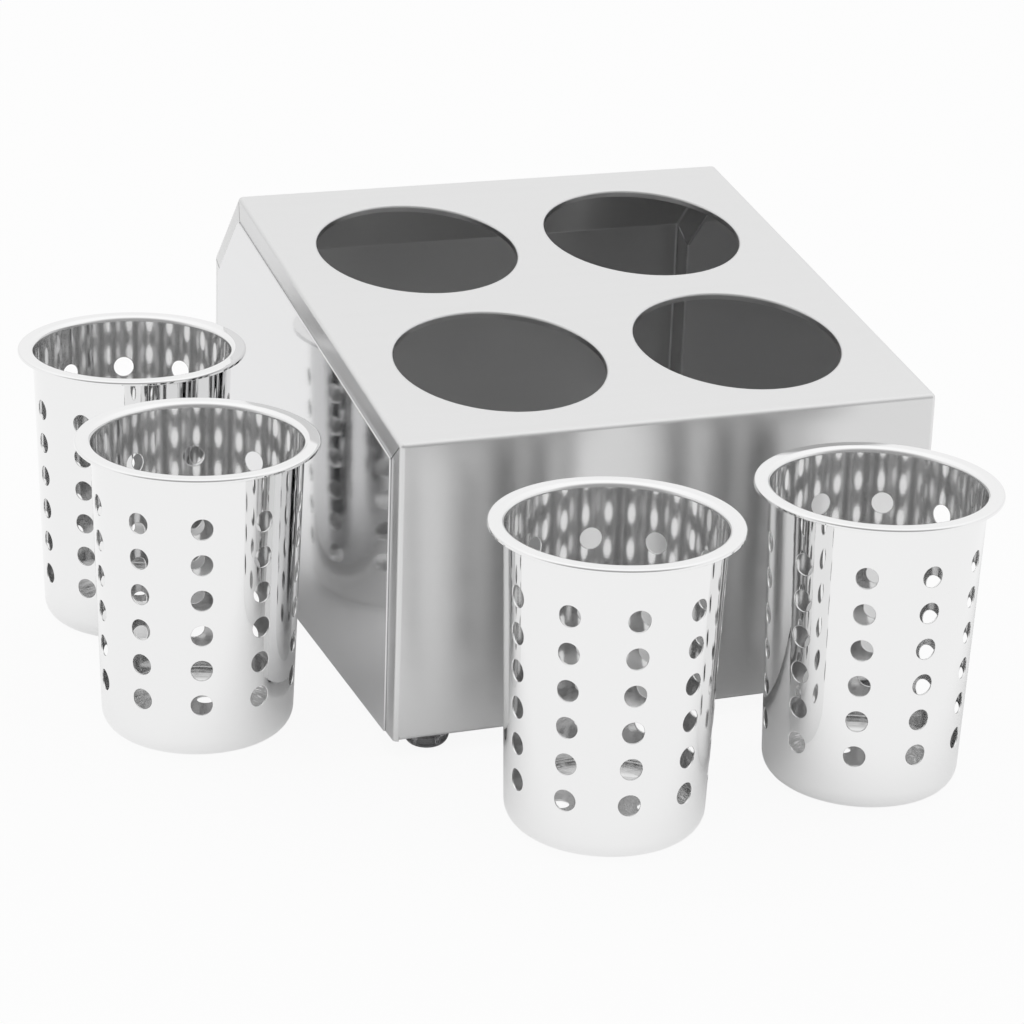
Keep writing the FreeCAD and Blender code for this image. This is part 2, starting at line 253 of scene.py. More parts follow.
class StageSettings(bpy.types.PropertyGroup):
    """Floor, light and camera."""

    floor_radius: length_property("Floor radius", "Reach of the pale floor", 6.0)
    floor_colour: colour_property("Floor colour", "Pale floor", (0.85, 0.85, 0.85))
    seen_white: share_property("Seen white", "Plain white in the floor as the camera sees it", 0.92)
    # Painted shade: mirror images see the floor's white glow weak near the case and full far from it
    near_white: share_property("Near white", "Plain white in mirror images of the floor under the case", 0.02)
    far_white: share_property("Far white", "Plain white in mirror images of the open floor", 0.9)
    near_reach: length_property("Near reach", "Where the mirrored floor starts to whiten", 0.17)
    far_reach: length_property("Far reach", "Where the mirrored floor is fully white", 0.34)
    dim_shift: FloatVectorProperty(name="Dim shift", description="Middle of the dim floor, from the case's",
                                   default=(0.04, 0.0, 0.0), size=3, subtype="XYZ", unit="LENGTH")
    horizon: FloatProperty(name="Horizon", description="Light from the horizon", default=0.9, min=0.0)
    zenith: FloatProperty(name="Zenith", description="Light from straight above", default=1.1, min=0.0)
    viewer_shade: share_property("Viewer shade", "How far the light is dimmed behind the camera", 0.6)
    lens: FloatProperty(name="Lens", description="Focal length on a 36 mm frame", default=111.37, min=1.0,
                        unit="CAMERA")
    shift: FloatProperty(name="Shift", description="Upward shift of the frame", default=-0.109375)
    camera_place: FloatVectorProperty(name="Camera place", description="From the case's front left corner",
                                      default=(-0.42702, -1.23992, 0.62598), size=3, subtype="XYZ",
                                      unit="LENGTH")
    camera_yaw: angle_property("Yaw", "Turn of the view to the right", 21.1109)
    camera_pitch: angle_property("Pitch", "Dip of the view", 19.0113)
    camera_roll: angle_property("Roll", "Lean of the view", 1.9872)


class Patches:
    """Surface patches that are collected into one closed mesh.

    A patch is a grid of points with a normal and a map place at each. Neighbouring patches share the
    points of their common edge, which are merged when the mesh is made.
    """

    def __init__(self):
        self.points, self.normals, self.maps, self.masks, self.quads = [], [], [], [], []
        self.count = 0

    def add(self, points, normals, maps, mask):
        """Adds a grid of shape (rows, columns, 3) whose outside is the cross of column and row direction."""
        rows, columns = points.shape[:2]
        index = np.arange(rows * columns).reshape(rows, columns) + self.count
        quads = np.stack([index[:-1, :-1], index[:-1, 1:], index[1:, 1:], index[1:, :-1]], -1)
        self.points.append(points.reshape(-1, 3))
        self.normals.append(normals.reshape(-1, 3))
        self.maps.append(maps.reshape(-1, 2))
        self.masks.append(np.broadcast_to(mask, (rows, columns)).reshape(-1))
        self.quads.append(quads.reshape(-1, 4))
        self.count += rows * columns

    def add_sheet(self, points, normals, maps, thickness, free=()):
        """Adds both sides of a sheet, whose other side lies the thickness below the points.

        free names the sides of the grid that are open edges, which are closed by a narrow strip.
        """
        self.add(points, normals, maps, OUTSIDE)
        below = points - normals * thickness
        self.add(below[:, ::-1], -normals[:, ::-1], maps[:, ::-1], INSIDE)
        sides = {"first_row": 0, "last_row": -1, "first_column": (slice(None), 0),
                 "last_column": (slice(None), -1)}
        for side in free:
            pick = sides[side]
            self.close_edge(points[pick], normals[pick], maps[pick], thickness,
                            side in ("first_row", "last_column"))

    def close_edge(self, points, normals, maps, thickness, below_first):
        """Closes a free edge of a sheet by a strip, whose normal is the cross of edge and sheet normal."""
        below = points - normals * thickness
        across = np.cross(np.gradient(points, axis=0), normals)
        across /= np.linalg.norm(across, axis=1, keepdims=True)
        pair = [below, points] if below_first else [points, below]
        across = across if below_first else -across
        self.add(np.stack(pair), np.stack([across, across]), np.stack([maps, maps]), CUT_EDGE)

    def mesh(self, name, place, turn=0.0):
        """The mesh of all patches, turned about Z by the angle and moved to the place.

        Points closer than the merge distance become one, and quads that lose corners by it become
        triangles or go.
        """
        c, s = math.cos(turn), math.sin(turn)
        spin = np.array([[c, -s, 0.0], [s, c, 0.0], [0.0, 0.0, 1.0]])
        points = np.concatenate(self.points)
        normals = np.concatenate(self.normals) @ spin.T
        quads = np.concatenate(self.quads)
        keys = np.round(points / MERGE_DISTANCE).astype(np.int64)
        _, first, index = np.unique(keys, axis=0, return_index=True, return_inverse=True)
        corners = index.reshape(-1)[quads]
        keep = corners != np.roll(corners, -1, axis=1)
        whole = keep.sum(axis=1) > 2
        keep, corners, quads = keep[whole], corners[whole], quads[whole]
        sizes = keep.sum(axis=1)
        loops, sources = corners[keep], quads[keep]
        data = bpy.data.meshes.new(name)
        data.vertices.add(len(first))
        data.vertices.foreach_set("co", (points[first] @ spin.T + np.array(place)).astype(np.float32).ravel())
        data.loops.add(len(loops))
        data.loops.foreach_set("vertex_index", loops.astype(np.int32))
        data.polygons.add(len(sizes))
        data.polygons.foreach_set("loop_start", (np.cumsum(sizes) - sizes).astype(np.int32))
        data.update(calc_edges=True)
        data.shade_smooth()
        layer = data.uv_layers.new(name="sheet_map")
        layer.data.foreach_set("uv", np.concatenate(self.maps)[sources].astype(np.float32).ravel())
        mask = data.attributes.new("inside", "FLOAT", "POINT")
        mask.data.foreach_set("value", np.concatenate(self.masks)[first].astype(np.float32))
        data.normals_split_custom_set(normals[sources])
        if data.validate():
            raise RuntimeError("the mesh of " + name + " has faulty faces")
        return data


def unit(vectors):
    """The vectors at length 1."""
    return vectors / np.linalg.norm(vectors, axis=-1, keepdims=True)


def rounded_profile(points, radii, run_length=RUN_STEP):
    """A chain of straight runs joined by tangent arcs, as points and right-hand normals.

    At each inner point an arc of the given radius touches both runs: it starts radius * tan(half the
    turn) before the corner and ends as far behind it. Long runs are divided into steps of run_length,
    and a run that the arcs take up whole is one point.
    """
    points = np.asarray(points, float)
    chain, sides = [], []
    start = points[0]
    for i, radius in enumerate(list(radii) + [None]):
        corner = points[i + 1]
        before = unit(corner - points[i])
        side = np.array([before[1], -before[0]])
        end = corner
        if radius is not None:
            after = unit(points[i + 2] - corner)
            bend = math.atan2(before[0] * after[1] - before[1] * after[0], before @ after)
            reach = radius * math.tan(abs(bend) / 2)
            end = corner - before * reach
        length = np.linalg.norm(end - start)
        steps = math.ceil(length / run_length) if length > MERGE_DISTANCE else 0
        share = np.linspace(0.0, 1.0, steps + 1)[:, None]
        chain.append(start + (end - start) * share)
        sides.append(np.repeat(side[None], steps + 1, 0))
        if radius is None:
            break
        angles = bend * np.linspace(0.0, 1.0, ARC_STEPS + 1)[1:-1, None]
        turned = side * np.cos(angles) + before * np.sin(angles)
        hand = math.copysign(radius, bend)
        chain.append(end - side * hand + turned * hand)
        sides.append(turned)
        start = corner + after * reach
    return np.concatenate(chain), np.concatenate(sides)


def add_turned(patches, profile, sides, mask):
    """Adds the surface that a profile (radius, height) sweeps round Z: (r cos a, r sin a, z)."""
    angle = np.linspace(0.0, 2 * np.pi, ROUND_STEPS + 1)[None, :]
    radius, height = profile[:, :1], profile[:, 1:]
    flat = np.ones_like(angle)
    points = np.stack([radius * np.cos(angle), radius * np.sin(angle), height * flat], -1)
    normals = np.stack([sides[:, :1] * np.cos(angle), sides[:, :1] * np.sin(angle), sides[:, 1:] * flat], -1)
    walked = np.concatenate([[0.0], np.cumsum(np.linalg.norm(np.diff(profile, axis=0), axis=1))])
    maps = np.stack([angle * np.ones_like(radius), walked[:, None] * flat], -1)
    patches.add(points, normals, maps, np.asarray(mask, float).reshape(-1, 1))


def cell_border(half_width, half_height, wide_steps, high_steps):
    """Points round a cell's border, once round against the clock from its lower right corner.

    Also gives the direction of each point, which pairs it with a point of the round hole.
    """
    wide = np.linspace(1.0, -1.0, wide_steps + 1)
    high = np.linspace(-1.0, 1.0, high_steps + 1)
    across = np.concatenate([np.ones(high_steps), wide[:-1], -np.ones(high_steps), -wide])
    along = np.concatenate([high[:-1], np.ones(wide_steps), -high[:-1], -np.ones(wide_steps + 1)])
    direction = np.arctan2(along, across)
    direction[-1] = direction[0]
    return across * half_width, along * half_height, direction


def add_pierced_cell(patches, surface, border, rings):
    """Adds a rectangular cell of a sheet with a round hole through it, in rings.

    A ring is (share, radius, depth, tilt, mask): share 1 lies on the cell's border and share 0 on the
    hole's circle of that radius, and between them the place is mixed. depth is measured into the sheet,
    and the normal is the sheet's own, tilted towards the hole's middle. The rings run from the border
    over the hole's edge and back to the border on the other side.

    The surface knows the sheet's form: hole gives a circle's places on the sheet, place their points in
    space, normals the sheet's normal and the direction to the hole's middle, and maps the map places.
    """
    across, along, direction = border
    points, normals, maps, masks = [], [], [], []
    for share, radius, depth, tilt, mask in rings:
        round_across, round_along = surface.hole(radius, direction, depth)
        mixed_across = round_across * (1 - share) + (surface.across + across) * share
        mixed_along = round_along * (1 - share) + (surface.along + along) * share
        points.append(surface.place(mixed_across, mixed_along, depth))
        upright, towards = surface.normals(mixed_across, direction)
        normals.append(upright * math.cos(tilt) + towards * math.sin(tilt))
        shrink = depth * (1 - share) * np.stack([np.cos(direction), np.sin(direction)], -1)
        maps.append(surface.maps(mixed_across, mixed_along) - shrink)
        masks.append(np.full(len(across), mask))
    patches.add(np.stack(points), np.stack(normals), np.stack(maps), np.stack(masks))


def punched_rings(hole_radius, roll, sheet):
    """Rings of a plain punched hole: the edges of both sides are rounded by the roll."""
    turn = np.radians(np.linspace(0.0, 90.0, PUNCH_STEPS))
    radii = hole_radius + roll * (1 - np.sin(turn))
    depths = roll * (1 - np.cos(turn))
    rings = [(share, radii[0], 0.0, 0.0, OUTSIDE) for share in PUNCHED_SHARES]
    rings += [(0.0, r, d, t, d / sheet) for r, d, t in zip(radii, depths, turn)]
    rings += [(0.0, r, sheet - d, np.pi - t, 1 - d / sheet)
              for r, d, t in zip(radii[::-1], depths[::-1], turn[::-1])]
    return rings + [(share, radii[0], sheet, np.pi, INSIDE) for share in PUNCHED_SHARES[::-1]]


def collar_rings(case):
    """Rings of a seat: a bend down into a short collar, its lower edge, and the way back behind it."""
    hole = case.seat_radius + case.collar_bend
    behind = case.seat_radius + case.sheet
    inner_bend = case.collar_bend - case.sheet
    turn = np.radians(np.linspace(0.0, 90.0, ARC_STEPS))
    quarter = np.pi / 2
    rings = [(share, hole, 0.0, 0.0, OUTSIDE) for share in SEAT_SHARES]
    # The mask rises over the bend and is full on the collar's visible face, which darkens that face as
    # painted shade in the seat
    rings += [(0.0, hole - case.collar_bend * math.sin(t), case.collar_bend * (1 - math.cos(t)), t,
               1 - math.cos(t)) for t in turn]
    lower_edge = ((case.seat_radius, 1, INSIDE), (case.seat_radius, 2, CUT_EDGE), (behind, 2, CUT_EDGE),
                  (behind, 3, INSIDE))
    rings += [(0.0, radius, case.collar_depth, turns * quarter, mask) for radius, turns, mask in lower_edge]
    rings += [(0.0, hole - inner_bend * math.sin(t), case.collar_bend - inner_bend * math.cos(t),
               t + 2 * quarter, INSIDE) for t in turn[::-1]]
    return rings + [(share, hole, case.sheet, 2 * quarter, INSIDE) for share in SEAT_SHARES[::-1]]


class ConeWall:
    """The cup's wall as a sheet: across is the angle round Z, along is the height.

    Its outside is a cone, r(z) = base radius + z * taper. The sheet lies inside it.
    """

    def __init__(self, cup):
        rim_under = cup.height - cup.sheet
        self.base = cup.base_radius
        self.taper = (cup.mouth_radius - cup.base_radius) / rim_under
        self.lean = math.atan(self.taper)
        self.across, self.along = 0.0, 0.0

    def radius(self, z, depth=0.0):
        return self.base + self.taper * z - depth / math.cos(self.lean)

    def hole(self, radius, direction, depth):
        z = self.along + radius * np.sin(direction)
        return self.across + np.arcsin(radius * np.cos(direction) / self.radius(z, depth)), z

    def place(self, angle, z, depth):
        radius = self.radius(z, depth)
        return np.stack([radius * np.cos(angle), radius * np.sin(angle), z], -1)

    def normals(self, angle, direction):
        out = math.cos(self.lean)
        drop = np.full_like(angle, -math.sin(self.lean))
        upright = np.stack([out * np.cos(angle), out * np.sin(angle), drop], -1)
        side, rise = -np.cos(direction), -np.sin(direction)
        c, s = math.cos(self.across), math.sin(self.across)
        return upright, np.stack([-side * s, side * c, rise], -1)

    def maps(self, angle, z):
        return np.stack([angle * self.base, z], -1)


class RoundFloor:
    """The cup's floor as a sheet seen from below: across is the angle round Z, along the radius."""

    def __init__(self, cup):
        self.across, self.along = 0.0, cup.drain_ring

    def hole(self, radius, direction, depth):
        out = self.along + radius * np.sin(direction)
        side = radius * np.cos(direction)
        return self.across + np.arctan2(side, out), np.hypot(out, side)

    def place(self, angle, radius, depth):
        return np.stack([radius * np.cos(angle), radius * np.sin(angle), np.full_like(radius, depth)], -1)

    def normals(self, angle, direction):
        zero = np.zeros_like(angle)
        side, out = -np.cos(direction), -np.sin(direction)
        c, s = math.cos(self.across), math.sin(self.across)
        towards = np.stack([out * c - side * s, out * s + side * c, zero], -1)
        return np.stack([zero, zero, zero - 1], -1), towards

    def maps(self, angle, radius):
        return np.stack([angle * self.along, radius], -1)


def cup_patches(cup):
    """All surfaces of a cup that stands at the origin: turned bands and bands of pierced cells."""
    wall = ConeWall(cup)
    rim_under = cup.height - cup.sheet
    level = cup.sheet / math.cos(wall.lean)
    pitch = (cup.height - cup.first_row - cup.last_row) / (cup.rows - 1)
    low = cup.first_row - pitch / 2
    high = cup.first_row + (cup.rows - 0.5) * pitch
    band_out = cup.drain_ring + cup.drain_reach
    band_in = cup.drain_ring - cup.drain_reach
    floor = cup.sheet
    patches = Patches()

    lower = [(band_out, 0.0), (cup.base_radius, 0.0), (wall.radius(low), low)]
    add_turned(patches, *rounded_profile(lower, [cup.corner_radius]), OUTSIDE)

    lip_in = cup.rim_radius - cup.sheet
    lip_low = cup.height - cup.lip_drop
    upper = [
        (wall.radius(high), high),
        (wall.radius(rim_under), rim_under),
        (lip_in, rim_under),
        (lip_in, lip_low),
        (cup.rim_radius, lip_low),
        (cup.rim_radius, cup.height),
        (wall.radius(cup.height) - level, cup.height),
        (wall.radius(high) - level, high),
    ]
    bends = [cup.rim_bend, cup.lip_bend, cup.edge_round, cup.edge_round,
             cup.lip_bend + cup.sheet, cup.rim_bend + cup.sheet]
    profile, sides = rounded_profile(upper, bends)
    inner_wall = (sides[:, 0] < -INWARD) & (profile[:, 0] < cup.mouth_radius)
    add_turned(patches, profile, sides, inner_wall)

    inner = [(wall.radius(low) - level, low), (wall.radius(floor) - level, floor), (band_out, floor)]
    add_turned(patches, *rounded_profile(inner, [cup.corner_radius - cup.sheet]), INSIDE)

    centre = [(band_in, floor), (cup.drain_radius, floor), (cup.drain_radius, 0.0), (band_in, 0.0)]
    add_turned(patches, *rounded_profile(centre, [cup.hole_roll, cup.hole_roll]), INSIDE)

    rings = punched_rings(cup.hole_radius, cup.hole_roll, cup.sheet)
    step = 2 * np.pi / cup.columns
    border = cell_border(step / 2, pitch / 2, ROUND_STEPS // cup.columns, HOLE_SIDE_STEPS)
    for row in range(cup.rows):
        wall.along = cup.first_row + row * pitch
        for column in range(cup.columns):
            wall.across = column * step
            add_pierced_cell(patches, wall, border, rings)

    base = RoundFloor(cup)
    rings = punched_rings(cup.drain_radius, cup.hole_roll, cup.sheet)
    step = 2 * np.pi / cup.drains
    border = cell_border(step / 2, cup.drain_reach, ROUND_STEPS // cup.drains, HOLE_SIDE_STEPS)
    for column in range(cup.drains):
        base.across = column * step
        add_pierced_cell(patches, base, border, rings)
    return patches


class CaseSection:
    """Side section of the folded case, from the back's bottom edge over the top to the front's.

    The straight runs are back, chamfer, top and front. A station is a length along a run from its
    corner, and a depth is measured below the run's outer face. Places are (y, z).
    """

    BACK, CHAMFER, TOP, FRONT = range(4)

    def __init__(self, case):
        top = (case.margin_front + 4 * case.seat_radius + case.web_along + case.margin_rear)
        rear_y = top * math.cos(case.slope)
        rear_height = case.front_height + top * math.sin(case.slope)
        depth = rear_y + case.chamfer_drop
        self.corners = np.array([
            (depth, case.base_height),
            (depth, rear_height - case.chamfer_drop),
            (rear_y, rear_height),
            (0.0, case.front_height),
            (0.0, case.base_height),
        ])
        steps = np.diff(self.corners, axis=0)
        self.lengths = np.linalg.norm(steps, axis=1)
        self.ahead = unit(steps)
        self.out = np.stack([self.ahead[:, 1], -self.ahead[:, 0]], -1)
        turns = np.arccos((self.ahead[:-1] * self.ahead[1:]).sum(axis=1))
        self.turns = np.concatenate([[0.0], turns, [0.0]])
        self.bend = case.bend
        self.slot = case.mitre_slot
        reveals = [case.rear_reveal, case.chamfer_reveal, case.top_reveal, case.front_reveal]
        self.reveals = np.array(reveals)
        self.flanges = self.reveals + case.overlap

    def place(self, run, station, depth):
        """The place at a station of a run, the depth below its face."""
        return self.corners[run] + np.multiply.outer(station, self.ahead[run]) - depth * self.out[run]

    def inner_corner(self, corner, depths):
        """Where the runs before and after a corner cross when each is moved in by its depth."""
        pair = self.out[corner - 1:corner + 1]
        return self.corners[corner] - np.linalg.solve(pair, depths[corner - 1:corner + 1])

    def flange_ends(self, run, depth):
        """Stations between which a flange reaches at a depth, half a slot from the mitre at each end."""
        ends = []
        for corner, hand in ((run, 1.0), (run + 1, -1.0)):
            station = (self.corners[corner] - self.corners[run]) @ self.ahead[run]
            if 0 < corner < len(self.lengths):
                mitre = unit(self.inner_corner(corner, self.flanges) - self.corners[corner])
                sink = -(mitre @ self.out[run])
                station += depth / sink * (mitre @ self.ahead[run]) + hand * self.slot / 2 / sink
            ends.append(station)
        return ends

    def trace(self, marks):
        """Points, outward normals and walked lengths along the section, and each run's stations.

        Each run is sampled where it starts and ends, where its flange does, and at its own marks.
        Between two runs an arc of the bend radius turns the normal: out cos(a) + ahead sin(a).
        """
        points, normals, walked, spans = [], [], [], []
        count, length = 0, 0.0
        for run in range(len(self.lengths)):
            reach = self.bend * np.tan(self.turns[run:run + 2] / 2)
            stations = [reach[0], self.lengths[run] - reach[1]] + self.flange_ends(run, self.bend)
            stations = np.unique(np.round(np.concatenate([stations, marks.get(run, [])]), STATION_DIGITS))
            points.append(self.place(run, stations, 0.0))
            normals.append(np.repeat(self.out[run:run + 1], len(stations), 0))
            walked.append(length + stations - stations[0])
            spans.append((count, stations))
            count += len(stations)
            length = walked[-1][-1]
            turn = self.turns[run + 1]
            if turn:
                angle = turn * np.linspace(0.0, 1.0, ARC_STEPS + 1)[1:-1, None]
                normal = self.out[run] * np.cos(angle) + self.ahead[run] * np.sin(angle)
                centre = self.place(run, stations[-1], self.bend)
                points.append(centre + normal * self.bend)
                normals.append(normal)
                walked.append(length + angle[:, 0] * self.bend)
                count += len(angle)
                length += turn * self.bend
        return np.concatenate(points), np.concatenate(normals), np.concatenate(walked), spans


class SlopingTop:
    """The case's top as a sheet: across is x, along runs up the slope from its front corner."""

    def __init__(self, section):
        self.front = section.corners[section.FRONT]
        self.rise = -section.ahead[section.TOP]
        self.out = section.out[section.TOP]
        self.across, self.along = 0.0, 0.0

    def hole(self, radius, direction, depth):
        return self.across + radius * np.cos(direction), self.along + radius * np.sin(direction)

    def place(self, x, along, depth):
        section = self.front + np.multiply.outer(along, self.rise) - depth * self.out
        return np.concatenate([x[:, None], section], -1)

    def normals(self, x, direction):
        upright = np.broadcast_to([0.0, *self.out], (len(x), 3))
        rise = np.array([0.0, *self.rise])
        towards = -np.multiply.outer(np.sin(direction), rise)
        towards[:, 0] = -np.cos(direction)
        return upright, towards

    def maps(self, x, along):
        return np.stack([x, along], -1)


def add_seats(patches, case, section):
    """Adds the four cells of the top, each with a seat in its middle."""
    top = SlopingTop(section)
    across = case.seat_radius + case.web_across / 2
    along = case.seat_radius + case.web_along / 2
    border = cell_border(across, along, SEAT_SIDE_STEPS, SEAT_SIDE_STEPS)
    rings = collar_rings(case)
    for column in (-1, 1):
        for row in range(2):
            top.across = case.width / 2 + column * across
            top.along = case.margin_front + case.seat_radius + row * 2 * along
            add_pierced_cell(patches, top, border, rings)


def carry(x, section, sides, walked):
    """A section (y, z) carried along x: the points, normals and maps of the grid."""
    flat = np.ones((len(section), len(x), 1))
    across = flat * x[:, None]
    points = np.concatenate([across, flat * section[:, None]], -1)
    normals = np.concatenate([0 * flat, flat * sides[:, None]], -1)
    return points, normals, np.concatenate([across, flat * walked[:, None, None]], -1)


def case_patches(case):
    """All surfaces of the folded sheet, with its front left corner at x = y = 0.

    The section is carried along x, from right to left, between the two side folds. Each side fold
    turns the face's normal n over into the side: middle of the fold + bend (n cos a + x sin a), and
    ends on the section moved in by the bend, where the flanges start.
    """
    section = CaseSection(case)
    bend, sheet, width = case.bend, case.sheet, case.width
    cell_side = case.margin_side - case.web_across / 2
    cell_rear = case.margin_rear - case.web_along / 2
    cells = 2 * SEAT_SIDE_STEPS + 1
    marks = {
        section.BACK: [bend],
        section.TOP: np.linspace(cell_rear, cell_rear + 4 * case.seat_radius + 2 * case.web_along, cells),
        section.FRONT: [section.lengths[section.FRONT] - bend],
    }
    points, normals, walked, spans = section.trace(marks)
    spread = np.linspace(cell_side, width - cell_side, cells)
    side_end = bend + case.relief
    x = np.concatenate([[bend, side_end], spread, [width - side_end, width - bend]])[::-1]

    def carried(rows, columns):
        """The section's rows carried along the columns' x: points, normals and maps."""
        return carry(x[columns], points[rows], normals[rows], walked[rows])

    patches = Patches()
    first_top, top_stations = spans[section.TOP]
    cell_start = first_top + int(np.argmin(abs(top_stations - marks[section.TOP][0])))
    cell_end = cell_start + cells - 1
    # The section's first and last row belong to the bends of the returns
    bottom_start = 1
    bottom_end = len(points) - 2
    everywhere = slice(None)
    patches.add_sheet(*carried(slice(bottom_start, cell_start + 1), everywhere), sheet)
    patches.add_sheet(*carried(slice(cell_end, bottom_end + 1), everywhere), sheet)
    for margin in (slice(0, 3), slice(-3, None)):
        patches.add_sheet(*carried(slice(cell_start, cell_end + 1), margin), sheet)
    add_seats(patches, case, section)
    add_returns(patches, case, section, x[1:-1])
    for row, below_first in ((bottom_start, True), (bottom_end, False)):
        for ends in (slice(0, 2), slice(-2, None)):
            place, normal, maps = (grid[0] for grid in carried(slice(row, row + 1), ends))
            patches.close_edge(place, normal, maps, sheet, below_first)
    for hand in (1.0, -1.0):
        add_side(patches, case, section, (points, normals, walked, spans), hand)
    return patches


def add_returns(patches, case, section, x):
    """Adds the bottom bends and the inward returns of the back and of the front."""
    depth, low = section.corners[0]
    back = [(depth - case.return_width, low), (depth, low), (depth, low + case.bend)]
    front = [(0.0, low + case.bend), (0.0, low), (case.return_width, low)]
    for chain, free in ((back, "first_row"), (front, "last_row")):
        profile, sides = rounded_profile(chain, [case.bend])
        grid = carry(x, profile, sides, np.linalg.norm(profile - profile[0], axis=1))
        patches.add_sheet(*grid, case.sheet, (free, "first_column", "last_column"))


def add_side(patches, case, section, trace, hand):
    """Adds one side's fold and flanges. hand is 1 at the right side and -1 at the left one."""
    points, normals, walked, spans = trace
    bend, sheet = case.bend, case.sheet
    middle = case.width - bend if hand > 0 else bend
    angle = np.radians(np.linspace(90.0, 0.0, ARC_STEPS + 1))
    if hand < 0:
        angle = angle[::-1]
    inner = points - normals * bend
    flat = np.ones((len(points), 1))
    aside = hand * np.sin(angle)
    place = np.concatenate([(flat * (middle + bend * aside))[..., None],
                            inner[:, None] + bend * normals[:, None] * np.cos(angle)[:, None]], -1)
    normal = np.concatenate([(flat * aside)[..., None], normals[:, None] * np.cos(angle)[:, None]], -1)
    spread = middle + hand * bend * angle
    maps = np.stack([flat * spread, walked[:, None] * np.ones(len(angle))], -1)
    patches.add_sheet(place, normal, maps, sheet, ("first_row", "last_row"))
    face_column, flange_column = (-1, 0) if hand > 0 else (0, -1)
    for rows in (slice(0, 2), slice(-2, None)):
        patches.close_edge(place[rows, face_column], normal[rows, face_column], maps[rows, face_column],
                           sheet, hand > 0)
    aside = np.array([hand, 0.0, 0.0])
    outer_x = case.width if hand > 0 else 0.0

    def upright(section_places):
        """Places of the section, at the side's outer plane."""
        return np.concatenate([np.full(section_places.shape[:-1] + (1,), outer_x), section_places], -1)

    for run, (start, stations) in enumerate(spans):
        low, high = np.round(section.flange_ends(run, bend), STATION_DIGITS)
        held = stations[(stations >= low) & (stations <= high)]
        free_low, free_high = section.flange_ends(run, section.flanges[run])
        share = (held - low) / (high - low)
        fold = section.place(run, held, bend)
        edge = section.place(run, free_low + (free_high - free_low) * share, section.flanges[run])
        columns = [edge, fold] if hand > 0 else [fold, edge]
        grid = upright(np.stack(columns, 1))
        width = section.flanges[run] - bend
        reach = spread[flange_column] + hand * np.array([width, 0.0] if hand > 0 else [0.0, width])
        along = walked[start] + held - stations[0]
        flange_maps = np.stack([np.ones((len(held), 1)) * reach, along[:, None] * np.ones(2)], -1)
        free = ("first_row", "last_row", "first_column" if hand > 0 else "last_column")
        patches.add_sheet(grid, np.broadcast_to(aside, grid.shape), flange_maps, sheet, free)
    for corner in range(1, len(spans)):
        before = section.place(corner - 1, section.flange_ends(corner - 1, bend)[1], bend)
        after = section.place(corner, section.flange_ends(corner, bend)[0], bend)
        depths = np.full(len(spans), bend)
        slot = upright(np.stack([before, section.inner_corner(corner, depths), after]))
        patches.close_edge(slot, np.broadcast_to(aside, slot.shape), np.zeros((3, 2)), sheet, hand < 0)


def panel_patches(case, hand):
    """A side panel on the flanges: a plate with rounded corners and edges.

    Its outline is carried round the plate's rounded edge, moved in by e (1 - sin a) where the edge
    turns, and then drawn together to the middle on both faces. A row of points is (share, inset, height,
    lift): share 0 is the plate's middle, and the lift is the part of the normal across the plate.
    """
    section = CaseSection(case)
    depths = section.reveals
    corners = [section.inner_corner(i, depths) for i in range(1, len(depths))]
    base = case.base_height
    outline = np.array([(section.corners[0][0] - depths[0], base), *corners, (depths[-1], base)])
    start = (outline[-1] + outline[0]) / 2
    loop, out = rounded_profile([start, *outline, start], [case.panel_corner] * len(outline), UNDIVIDED)
    centre = outline.mean(axis=0)
    edge, thick = case.panel_edge, case.panel_sheet
    turn = np.radians(np.linspace(0.0, 90.0, ARC_STEPS))
    rows = [(0.0, 0.0, 0.0, -1.0), (1.0, edge, 0.0, -1.0)]
    rows += [(1.0, edge * (1 - math.sin(a)), edge * (1 - math.cos(a)), -math.cos(a)) for a in turn]
    rows += [(share, inset, thick - height, -lift) for share, inset, height, lift in rows[::-1]]
    face = case.width if hand > 0 else 0.0
    places, normals = [], []
    for share, inset, height, lift in rows:
        ring = centre + (loop - out * inset - centre) * share
        aside = np.full((len(ring), 1), hand)
        places.append(np.concatenate([face + height * aside, ring], -1))
        normals.append(np.concatenate([lift * aside, out * math.sqrt(max(0.0, 1 - lift * lift))], -1))
    places, normals = np.stack(places), np.stack(normals)
    if hand < 0:
        places, normals = places[:, ::-1], normals[:, ::-1]
    patches = Patches()
    patches.add(places, normals, places[..., 1:], OUTSIDE)
    return patches


def foot_patches(foot):
    """A foot at the origin: pocket, flat pad, dome and rim, turned round Z.

    The dome is a quarter ellipse: r = pad + (radius - pad) sin a, z = shoulder (1 - cos a).
    """
    shoulder = foot.height - foot.rim
    wide = foot.radius - foot.pad
    angle = np.linspace(0.0, np.pi / 2, 2 * ARC_STEPS)
    dome = np.stack([foot.pad + wide * np.sin(angle), shoulder * (1 - np.cos(angle))], -1)
    dome_sides = unit(np.stack([shoulder * np.sin(angle), -wide * np.cos(angle)], -1))
    ceiling = foot.height - foot.web
    pocket = [(foot.bore, foot.height), (foot.bore, ceiling), (foot.recess, ceiling), (foot.recess, 0.0),
              (foot.pad, 0.0)]
    rim = [(foot.radius, shoulder), (foot.radius, foot.height), (foot.bore, foot.height)]
    patches = Patches()
    add_turned(patches, *rounded_profile(pocket, [foot.edge] * 3), OUTSIDE)
    add_turned(patches, dome, dome_sides, OUTSIDE)
    add_turned(patches, *rounded_profile(rim, [foot.edge]), OUTSIDE)
    return patches


def new_object(name, data, material, body, slot, *nodes):
    """Adds a finished piece, which rides on the body and stands for the nodes. Its mesh has its place."""
    piece = bpy.data.objects.new(name, data)
    bpy.context.scene.collection.objects.link(piece)
    data.materials.append(material)
    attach(piece, body)
    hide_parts(*nodes)


